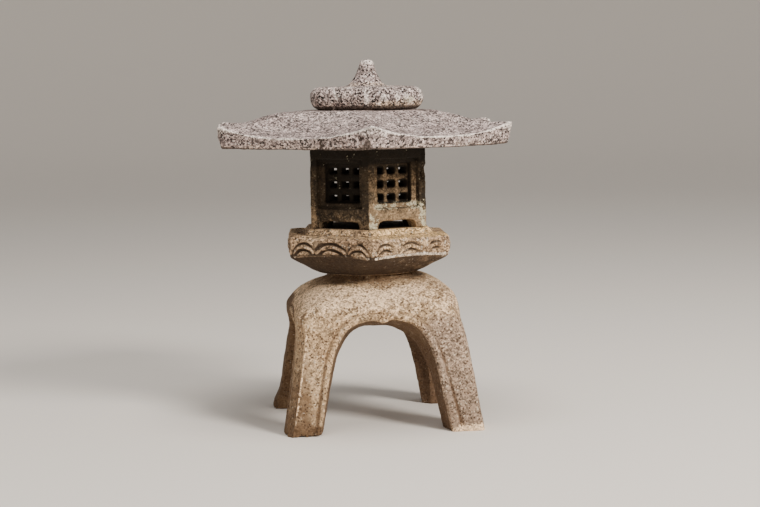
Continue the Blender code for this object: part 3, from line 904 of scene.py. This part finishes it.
def make_chamber():
    mesh = remeshed(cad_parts["light_chamber"].data.copy(), CHAMBER_VOXEL)
    points, edges = mesh_points(mesh), mesh_edges(mesh)
    for _ in range(2):
        points = 0.5 * points + 0.5 * neighbour_mean(points, edges)
    set_points(mesh, points)
    normals = mesh_normals(mesh)
    own = local(points, CHAMBER_TURN, CHAMBER_X)
    z = own[:, 2]
    side, side_angle, along, out = in_side(own)
    turned = side_angle + CHAMBER_TURN
    facing = np.abs(normals[:, 0] * np.cos(turned) + normals[:, 1] * np.sin(turned))

    # The lattice holes narrow inwards, most of all at their ceilings
    lattice = smooth(0.0730, 0.0715, out) * smooth(CHAMBER_BORE - 0.0014, CHAMBER_BORE + 0.0001, out)
    lattice *= smooth(0.0325, 0.0310, np.abs(along))
    lattice *= smooth(0.335, 0.341, z) * smooth(0.407, 0.401, z)
    depth = np.interp(out, (CHAMBER_BORE, LATTICE_FACE), (1.0, 0.0))
    hole_wall = lattice * smooth(0.75, 0.35, facing)
    shift = hole_wall * (0.0008 + 0.0015 * depth)
    shift += 0.0004 * hole_wall * (own[:, 1] > 0.0)
    downward = smooth(-0.3, -0.8, normals[:, 2])
    shift += lattice * downward * 0.0014 * depth
    from_arch_top = np.abs(z - CHAMBER_LOW - FOOT_ARCH_HEIGHT)
    arch_ceiling = downward * smooth(0.0035, 0.0010, from_arch_top)
    shift += arch_ceiling * np.where(side == SIDES - 1, 0.0021, 0.0008)

    # Uneven casting, worn edges and chips
    free = resting(points, normals, (CHAMBER_LOW, CHAMBER_TOP))
    rough = free * (1.0 - 0.7 * lattice)
    shift += rough * casting(points, 31, (0.0006, 0.040), (0.0005, 0.012), (0.0004, 0.005))
    bend = convexity(points, normals, edges, 3)
    outside = smooth(0.072, 0.080, out)
    edge = smooth(60.0, 220.0, bend) * outside
    shift -= 0.0010 * edge * smooth(0.0, 0.6, noise(points, 0.009, 34)) * free
    angles = np.radians((-150, -90, -30, 90, 150))
    corners = CHAMBER_RADIUS * np.stack([np.cos(angles), np.sin(angles), 0.0 * angles], axis=1)
    left, near, right, back, back_left = placed(corners, CHAMBER_TURN, CHAMBER_X)[:, :2]
    chips = [
        ((*right, 0.3915), 0.0130, 0.0085), ((*right, 0.3845), 0.0120, 0.0045),
        ((*right, 0.3790), 0.0060, 0.0016), ((*right, 0.3520), 0.0060, 0.0014),
        ((*near, 0.3900), 0.0060, 0.0012), ((*near, 0.3620), 0.0050, 0.0010),
        ((*left, 0.3400), 0.0060, 0.0012), ((*back, 0.3500), 0.0110, 0.0040),
        ((*back_left, 0.4150), 0.0120, 0.0045),
    ]
    shift -= chipped(points, chips, 80)
    moved = points + normals * shift[:, None]
    moved[:, 2] = np.clip(moved[:, 2], CHAMBER_LOW, CHAMBER_TOP)
    set_points(mesh, moved)

    # Painted light: lighter towards the bottom, above all on the front right; overgrown there too
    low_part = smooth(0.400, 0.325, z)
    right_face = side == 0
    left_face = side == SIDES - 1
    strength = np.where(right_face, 1.0, np.where(left_face, 0.33, 0.75))
    bars = lattice * facing
    step = smooth(0.0735, 0.0760, out) * smooth(0.0825, 0.0805, out) * smooth(0.6, 0.9, facing)
    jamb = smooth(0.066, 0.072, out) * smooth(0.322, 0.316, z)
    outside = np.maximum(outside, jamb)
    # Painted light, lighter low down and on the right face and posts
    tone_and_light = outside * smooth(0.352, 0.322, z) * strength * 0.72
    # Painted light on the right face's lattice bars and frame step
    tone_and_light += np.where(right_face, 0.62, 0.05) * (bars + step) * smooth(0.412, 0.370, z)
    tone_and_light += 0.30 * smooth(0.330, 0.318, z) * outside * strength
    tone_and_light += 0.50 * outside * right_face * smooth(-0.031, -0.042, along) * smooth(0.412, 0.375, z)
    tone_and_light += 0.32 * outside * left_face * smooth(-0.038, -0.045, along) * smooth(0.410, 0.380, z)
    sill = bump_at(z, 0.3375, 0.0062) * smooth(0.046, 0.038, np.abs(along))
    near_post = smooth(0.024, 0.038, -along) * smooth(0.341, 0.318, z)
    far_post = smooth(0.036, 0.043, along) * smooth(0.354, 0.332, z)
    lichen = np.where(right_face, 1.0, np.where(left_face, 0.0, 0.5)) * smooth(0.070, 0.074, out)
    lichen *= np.maximum(0.70 * sill, 0.74 * np.maximum(near_post, far_post))
    patchy = smooth(-0.35, 0.35, noise(points, 0.009, 35))
    lichen *= 0.55 + 0.45 * patchy
    lit = np.clip(bars + step, 0.0, 1.0) * right_face
    # Painted shade: dark at the top under the roof, inside, in the lattice holes and on the left face
    stain_and_shade = 1.05 * smooth(0.390, 0.414, z) + 1.0 * (1.0 - outside) * (1.0 - lit)
    stain_and_shade += 0.25 * left_face * smooth(0.325, 0.345, z)
    wear_and_light = 0.50 * smooth(80.0, 240.0, bend) * outside * (0.25 + 0.75 * low_part) * strength
    finish_stone("light_chamber", mesh, CHAMBER_LOOK, wear_and_light, stain_and_shade, tone_and_light, lichen)


# ---- roof

ROOF_COLUMNS = 720
TIP_RADIUS = 0.2548
TIP_HEIGHT = 0.4653
EAVE_TOP = 0.446
EAVE_BOTTOM = 0.428
EAVE_UNDERCUT = 0.0069
FINIAL_REST = FINIAL_LOW + 0.020
ROOF_TOP = FINIAL_REST - GAP
ROOF_SOCKET = 0.024
ROOF_CORNER = 0.0015
BOSS_RADIUS = 0.042
BOSS_DEPTH = 0.009
TOP_RADIUS = 0.0924  # of the flat top
CRACK_X = -0.0551  # on the front left side of the eave, as the pit is
PIT_PLACE = (0.0027, 0.4448)  # x, z
RIDGE = [  # radius and height along a corner
    (TIP_RADIUS, TIP_HEIGHT), (0.236, 0.4638), (0.224, 0.4630), (0.210, 0.4638), (0.197, 0.4657),
    (0.184, 0.4690), (0.168, 0.4738), (0.1465, 0.4790), (0.126, 0.4810), (0.105, 0.4820),
    (TOP_RADIUS, ROOF_TOP),
]


def make_roof():
    seat = CHAMBER_TOP + GAP
    eave = TIP_RADIUS * COS30
    band = eave - EAVE_UNDERCUT
    boss = BOSS_RADIUS * COS30
    boss_low = seat - BOSS_DEPTH
    under = [
        level_row(HUB, ROOF_CORNER, boss_low), level_row(boss, ROOF_CORNER, boss_low),
        level_row(boss, ROOF_CORNER, seat), level_row(0.104, ROOF_CORNER, seat),
        (0.160, ROOF_CORNER, 0.4335, 0.4345),
        (band - 0.010, 0.002, EAVE_BOTTOM + 0.0012, EAVE_BOTTOM + 0.0032),
        (band, 0.003, EAVE_BOTTOM, EAVE_BOTTOM + 0.002),
    ]
    edge_rows = [under[-1], (eave, 0.004, EAVE_TOP, TIP_HEIGHT)]
    ridge = smooth_rows(RIDGE, 0.002)
    top = []
    for radius in np.linspace(TIP_RADIUS, TOP_RADIUS, 74):
        apothem = radius * COS30
        rise = max(0.0, (0.219 - apothem) / 0.119)
        mid = min(ROOF_TOP - 0.0010, EAVE_TOP + 0.0355 * rise ** 1.5)
        corner_z = np.interp(radius, ridge[::-1, 0], ridge[::-1, 1])
        top.append((apothem, 0.004, mid, corner_z))
    socket_low = FINIAL_LOW - SOCKET_SPARE
    inner = [
        top[-1], level_row(0.078, 0.020, ROOF_TOP),
        level_row(ROOF_SOCKET + 0.002, ROOF_SOCKET, ROOF_TOP),
        round_row(ROOF_SOCKET, ROOF_TOP - 0.0015), round_row(ROOF_SOCKET, socket_low),
        round_row(HUB, socket_low),
    ]
    table = np.vstack([
        straight_rows(under, 0.0085)[:-1], straight_rows(edge_rows, 0.0014)[:-1],
        np.array(top)[:-1], straight_rows(inner, 0.0055),
    ])
    table = soften(table, 1)
    grid = ring_grid(SIDES, table, ROOF_COLUMNS, ROOF_TURN, ROOF_X)
    mesh = closed_mesh("roof", grid)
    points, normals, edges = mesh_points(mesh), mesh_normals(mesh), mesh_edges(mesh)
    own = local(points, ROOF_TURN, ROOF_X)
    x, y, z = points.T
    radius = np.hypot(own[:, 0], own[:, 1])
    side, _, along, out = in_side(own)
    free = resting(points, normals, (seat, ROOF_TOP))
    free = np.where(radius < 0.10, free, 1.0)

    # Uneven casting, worn edges and chips
    bend = convexity(points, normals, edges, 2)
    rim = smooth(0.200, 0.212, out)
    edge = rim * smooth(30.0, 120.0, bend)
    shift = free * casting(points, 41, (0.0010, 0.060), (0.0006, 0.018), (0.00045, 0.006))
    shift -= 0.0022 * edge * smooth(-0.1, 0.8, noise(points, 0.016, 44))
    shift -= 0.0010 * edge * smooth(0.0, 0.6, noise(points, 0.006, 45))

    def corner_at(index, reach=TIP_RADIUS):
        turn = HEX_START + ROOF_TURN + index * 2 * HALF_SIDE
        return ROOF_X + reach * math.cos(turn), reach * math.sin(turn)

    chips = [
        ((*corner_at(1, 0.250), 0.468), 0.006, 0.0016), ((*corner_at(1), 0.431), 0.006, 0.0016),
        ((*corner_at(5, 0.250), 0.468), 0.007, 0.0018), ((*corner_at(5), 0.431), 0.006, 0.0016),
        ((*corner_at(0), 0.463), 0.012, 0.0026), ((*corner_at(2), 0.462), 0.009, 0.0025),
        ((*corner_at(4), 0.463), 0.011, 0.0040), ((*corner_at(3), 0.460), 0.013, 0.0050),
    ]
    shift -= chipped(points, chips, 100)

    # A crack and a pit in the eave's front left side
    side_left = side == SIDES - 1
    on_band = smooth(0.212, 0.2135, out) * smooth(0.45, 0.55, np.hypot(normals[:, 0], normals[:, 1]))
    crack_x = CRACK_X + 0.0010 * np.sin(z * 900.0)
    crack = side_left * on_band * bump_at(x, crack_x, 0.0016)
    shift -= 0.0022 * crack
    pit = side_left * on_band * bump_at(np.hypot(x - PIT_PLACE[0], z - PIT_PLACE[1]), 0.0, 0.0026)
    shift -= 0.0040 * pit
    moved = points + normals * shift[:, None]
    low_seat = (radius < 0.120) & (normals[:, 2] < -0.5) & (z > seat - 0.001)
    moved[:, 2] = np.where(low_seat, np.maximum(moved[:, 2], seat), moved[:, 2])
    moved[:, 2] = np.where(radius < 0.09, np.minimum(moved[:, 2], ROOF_TOP), moved[:, 2])
    set_points(mesh, moved)

    # Pale along the eave's upper edge, on the ridges and tips; dark in the crack; painted shade below
    upper = smooth(0.1, 0.4, normals[:, 2])
    nearness = np.clip(np.abs(along) / (0.5 * TIP_RADIUS), 0.0, 1.0)
    below_edge = EAVE_TOP + (TIP_HEIGHT - EAVE_TOP) * nearness ** CORNER_RISE - z
    line = on_band * smooth(0.0050, 0.0010, below_edge) * smooth(-0.45, 0.45, noise(points, 0.018, 47))
    right_half = smooth(-0.02, 0.04, x)
    wear_and_light = rim * smooth(25.0, 95.0, bend) * (0.15 + 0.80 * smooth(0.436, 0.442, z))
    wear_and_light += line * (0.45 + 0.40 * right_half)
    # A painted highlight by the near ridge
    ridge_highlight = bump_at(np.hypot(x - 0.030, (z - 0.4585) * 1.6), 0.0, 0.017)
    ridge_highlight *= smooth(-0.18, -0.21, y) * smooth(-0.3, 0.5, noise(points, 0.008, 49))
    wear_and_light += 0.45 * ridge_highlight
    wear_and_light += 0.55 * smooth(0.228, 0.250, radius) * smooth(0.440, 0.458, z)
    ridges = smooth(12.0, 45.0, spread(bend, edges, 3)) * smooth(0.11, 0.15, radius)
    wear_and_light += 0.62 * ridges * upper
    wear_and_light += 0.12 * smooth(0.2, 0.8, noise(points, 0.030, 46)) * upper
    on_side = on_band * smooth(0.446, 0.430, z)
    stain_and_shade = 1.2 * crack + 1.3 * pit + 0.20 * on_side
    # Painted shade under the eave and in the finial's socket
    stain_and_shade += 0.75 * smooth(-0.3, -0.6, normals[:, 2])
    stain_and_shade += 0.9 * smooth(0.030, 0.0255, radius) * (1 - upper)
    corner_stain = bump_at(np.hypot(x - 0.0135, (z - 0.437) * 0.8), 0.0, 0.007)
    stain_and_shade += 0.65 * corner_stain * on_band * side_left
    patch = smooth(-0.3, 0.5, noise(points, 0.035, 48))
    stain_and_shade += (0.24 + 0.22 * right_half) * upper * patch * smooth(0.205, 0.19, out)
    tone_and_light = 0.34 * on_side
    finish_stone("roof", mesh, ROOF_LOOK, wear_and_light, stain_and_shade, tone_and_light)


# ---- finial

FINIAL_COLUMNS = 540
FINIAL_TENON = 0.012


def make_finial():
    tenon = [level_row(HUB, 0.0015, FINIAL_LOW), round_row(FINIAL_TENON, FINIAL_LOW),
             round_row(FINIAL_TENON, FINIAL_REST)]
    disc = [(0.0745, FINIAL_REST), (0.0798, 0.4872), (0.0840, 0.4938), (0.0856, 0.5022),
            (0.0840, 0.5100), (0.0795, 0.5150), (0.0730, 0.5180)]
    spire = [(0.0345, 0.5186), (0.0265, 0.5225), (0.0212, 0.5290), (0.0164, 0.5380),
             (0.0128, 0.5475), (0.0106, 0.5550), (0.0080, 0.5585), (0.0035, LANTERN_TOP),
             (0.0006, LANTERN_TOP)]
    disc_rows = smooth_rows([level_row(a, 0.34 * a, z) for a, z in disc], 0.0011)
    spire_rows = smooth_rows([round_row(r, z) for r, z in spire], 0.0012)
    table = np.vstack([
        straight_rows([*tenon, disc_rows[0]], 0.0042)[:-1], disc_rows[:-1],
        straight_rows([disc_rows[-1], spire_rows[0]], 0.0016)[:-1], spire_rows,
    ])
    table = soften(table, 1)
    grid = ring_grid(SIDES, table, FINIAL_COLUMNS, ROOF_TURN, FINIAL_X)
    mesh = closed_mesh("finial", grid)
    points, normals, edges = mesh_points(mesh), mesh_normals(mesh), mesh_edges(mesh)
    x, y, z = points.T
    radius = np.hypot(x - FINIAL_X, y)
    free = resting(points, normals, (FINIAL_REST,), 0.004) * smooth(0.003, 0.012, radius)
    fine_height = 0.00045 * smooth(0.004, 0.010, radius)  # it fades at the spire's tip
    shift = free * casting(points, 51, (0.0006, 0.030), (0.0004, 0.010), (fine_height, 0.0045))
    bend = convexity(points, normals, edges, 4)
    edge = smooth(60.0, 160.0, bend) * smooth(0.07, 0.075, radius)
    shift -= 0.0009 * edge * smooth(0.0, 0.7, noise(points, 0.008, 54))
    scratch_x = -0.0377 + 0.327 * (0.5143 - z)
    scratch = bump_at(x, scratch_x, 0.0016) * smooth(0.4975, 0.5000, z)
    scratch *= smooth(0.5185, 0.5165, z) * (y < 0.0)
    shift -= 0.0007 * scratch * smooth(0.06, 0.07, radius)
    moved = points + normals * shift[:, None]
    moved[:, 0] += 0.0017 * smooth(0.516, 0.535, z)
    moved[:, 2] = np.where(radius > 0.013, np.maximum(moved[:, 2], FINIAL_REST), moved[:, 2])
    set_points(mesh, np.minimum(moved, (np.inf, np.inf, LANTERN_TOP)))

    on_disc = smooth(0.070, 0.076, radius)
    low_disc = smooth(0.503, 0.492, z) * on_disc
    right = smooth(0.0, 0.05, x) * smooth(0.02, -0.03, y)
    wear_and_light = 0.35 * edge + 1.2 * scratch + 0.55 * smooth(0.549, 0.556, z)
    wear_and_light += 0.50 * on_disc * smooth(0.1, 0.7, noise(points, 0.012, 55))
    # Warmer low on the disc and at the spire's foot; the extra on the right is painted light
    tone_and_light = low_disc * (0.30 + 0.55 * right) + 0.45 * bump_at(z, 0.522, 0.005)
    lichen = 0.85 * on_disc * right * bump_at(z, 0.498, 0.007)
    lichen *= smooth(-0.2, 0.5, noise(points, 0.02, 56))
    # Painted shade at the foot of the disc, where it meets the roof
    stain_and_shade = 0.85 * smooth(0.4925, 0.4870, z) * smooth(0.013, 0.014, radius)
    finish_stone("finial", mesh, FINIAL_LOOK, wear_and_light, stain_and_shade, tone_and_light, lichen)


# ---- studio and camera

AIM = (0.0, 0.0, 0.25)  # what the lights point at
LIGHTS = {  # place, size, power, colour
    "key_light": ((2.3, -2.5, 2.35), 1.1, 186.0, (1.0, 0.955, 0.895)),
    "top_light": ((0.1, -0.7, 3.4), 1.6, 58.0, (1.0, 0.965, 0.92)),
    "fill_light": ((-2.6, -2.4, 1.2), 2.0, 9.0, (1.0, 0.97, 0.94)),
}
FLOOR_SWEEP = [  # radius, height
    (0.5, 0.0), (3.0, 0.0), (6.0, 0.0), (7.6, 0.25), (8.6, 1.2), (9.0, 3.4),
]
CAMERA_PLACE = (0.0284, -2.893, 0.534)
CAMERA_DOWN = math.radians(5.45)
CAMERA_ROLL = math.radians(-0.88)


def plain_material(name, colour):
    material = bpy.data.materials.new(name)
    material.use_nodes = True
    shader = material.node_tree.nodes["Principled BSDF"]
    shader.inputs["Base Color"].default_value = (*colour, 1.0)
    shader.inputs["Roughness"].default_value = 0.95
    shader.inputs["Specular IOR Level"].default_value = 0.1
    return material


def make_stage():
    """A round floor that sweeps up into a low wall far behind every view."""
    profile = smooth_rows(FLOOR_SWEEP, 0.35)
    columns = 96
    angle = np.arange(columns) * 2 * math.pi / columns
    points = [(r * math.cos(a), r * math.sin(a), max(z, 0.0)) for r, z in profile for a in angle]
    faces = []
    for i in range(len(profile) - 1):
        for j in range(columns):
            k = (j + 1) % columns
            low, high = i * columns, (i + 1) * columns
            faces.append((low + j, low + k, high + k, high + j))
    faces.append(tuple(reversed(range(columns))))
    mesh = bpy.data.meshes.new("studio_floor")
    mesh.from_pydata(points, [], faces)
    mesh.shade_smooth()
    floor = new_object("studio_floor", mesh)
    mesh.materials.append(plain_material("studio_floor_finish", (0.80, 0.745, 0.68)))
    floor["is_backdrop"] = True


def add_area_light(name, place, size, power, colour):
    data = bpy.data.lights.new(name, "AREA")
    data.shape = "DISK"
    data.size = size
    data.energy = power
    data.color = colour
    lamp = new_object(name, data)
    lamp.location = place
    lamp.rotation_euler = (Vector(AIM) - Vector(place)).to_track_quat("-Z", "Y").to_euler()


def make_lights():
    for name, settings in LIGHTS.items():
        add_area_light(name, *settings)
    world = bpy.data.worlds.new("studio_world")
    world.use_nodes = True
    background = world.node_tree.nodes["Background"]
    background.inputs["Color"].default_value = (0.98, 0.97, 0.96, 1.0)
    background.inputs["Strength"].default_value = 0.42
    bpy.context.scene.world = world


def make_camera():
    data = bpy.data.cameras.new("camera")
    data.lens = 88.0
    data.sensor_width = 36.0
    camera = new_object("camera", data)
    tilt = Matrix.Rotation(math.pi / 2 - CAMERA_DOWN, 4, "X")
    roll = Matrix.Rotation(CAMERA_ROLL, 4, "Z")
    camera.matrix_world = Matrix.Translation(CAMERA_PLACE) @ tilt @ roll
    bpy.context.scene.camera = camera


make_legs()
make_platform()
make_chamber()
make_roof()
make_finial()
make_stage()
make_lights()
make_camera()

sizes = {"cad": cad_bounds, "visual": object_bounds()}
sizes = {key: [list(map(float, corner)) for corner in box] for key, box in sizes.items()}
